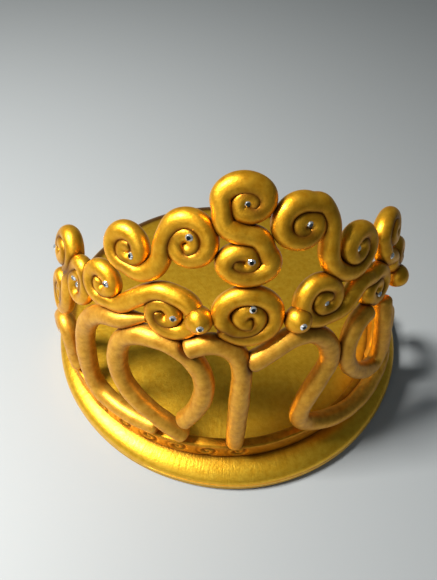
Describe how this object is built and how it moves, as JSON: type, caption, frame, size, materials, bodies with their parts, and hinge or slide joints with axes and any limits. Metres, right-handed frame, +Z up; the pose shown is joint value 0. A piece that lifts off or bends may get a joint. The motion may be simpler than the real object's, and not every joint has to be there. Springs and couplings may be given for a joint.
{
  "type": "decorative crown ornament",
  "caption": "Openwork scroll crown, open at the back, standing on a thick round base, with small faceted rhinestones at the scroll centres.",
  "frame": {"origin": "centre of the round base's flat underside", "axes": "+Z up, -Y towards the crown's front (the tallest scroll), +X to the viewer's right"},
  "size_m": [0.16, 0.16, 0.1235],
  "materials": {
    "gold_rope": "brushed-on metallic gold paint over hand-rolled air-dry clay",
    "gold_base": "metallic gold paint with fine brush streaks",
    "clear_stone": "clear faceted rhinestone with mirrored back"
  },
  "bodies": {
    "root": {"base_disc": "gold_base", "foot_band": "gold_rope", "left_end_loop": "gold_rope", "left_bow_loop": "gold_rope", "left_teardrop_loop": "gold_rope", "hook_stem": "gold_rope", "right_bow_loop": "gold_rope", "right_side_loop": "gold_rope", "right_end_loop": "gold_rope", "centre_rosette": "gold_rope", "left_bead": "gold_rope", "right_bead": "gold_rope", "left_mid_scroll": "gold_rope", "right_mid_scroll": "gold_rope", "left_side_scroll": "gold_rope", "right_side_bead": "gold_rope", "crest_scroll": "gold_rope", "left_crest_scroll": "gold_rope", "right_crest_scroll": "gold_rope", "left_finial": "gold_rope", "right_finial": "gold_rope", "rhinestones": "clear_stone"}
  },
  "joints": []
}
